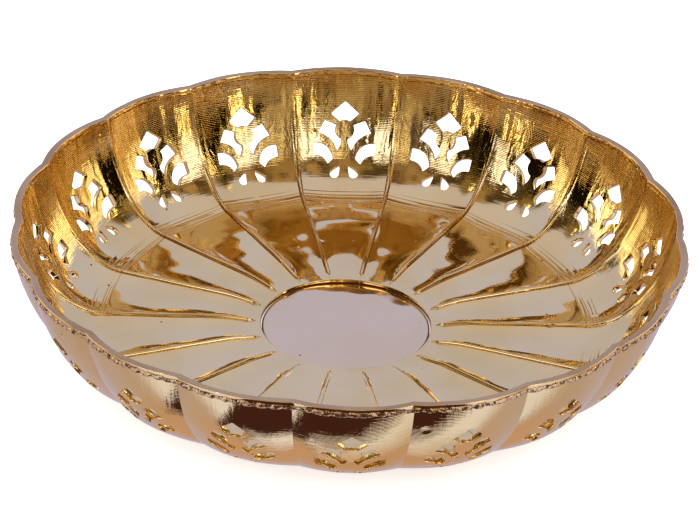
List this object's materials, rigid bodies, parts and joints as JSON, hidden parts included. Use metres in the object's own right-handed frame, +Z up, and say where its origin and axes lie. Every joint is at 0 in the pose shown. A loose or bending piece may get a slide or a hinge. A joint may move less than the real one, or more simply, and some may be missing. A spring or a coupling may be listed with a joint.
{
  "type": "lotus offering plate",
  "caption": "Round scalloped brass offering bowl with pierced lotus motifs in its petals, seam ribs, a recessed centre disc and a low foot ring.",
  "frame": {"origin": "centre of the foot ring's resting face", "axes": "+Z up along the bowl's axis; +Y through the middle of petal_01; +X to the right"},
  "size_m": [0.2786, 0.2812, 0.0526],
  "materials": {
    "polished_brass": "mirror polished, with fine turning marks",
    "disc_brass": "mirror polished, faced flat",
    "rim_brass": "ground satin",
    "solder_brass": "rough, unpolished",
    "foot_brass": "turned satin"
  },
  "bodies": {
    "root": {"petal_01": "polished_brass", "petal_02": "polished_brass", "petal_03": "polished_brass", "petal_04": "polished_brass", "petal_05": "polished_brass", "petal_06": "polished_brass", "petal_07": "polished_brass", "petal_08": "polished_brass", "petal_09": "polished_brass", "petal_10": "polished_brass", "petal_11": "polished_brass", "petal_12": "polished_brass", "petal_13": "polished_brass", "petal_14": "polished_brass", "petal_15": "polished_brass", "petal_16": "polished_brass", "petal_17": "polished_brass", "petal_18": "polished_brass", "rim_band": "rim_brass", "rim_solder_bead": "solder_brass", "centre_disc": "disc_brass", "foot_ring": "foot_brass"}
  },
  "joints": []
}
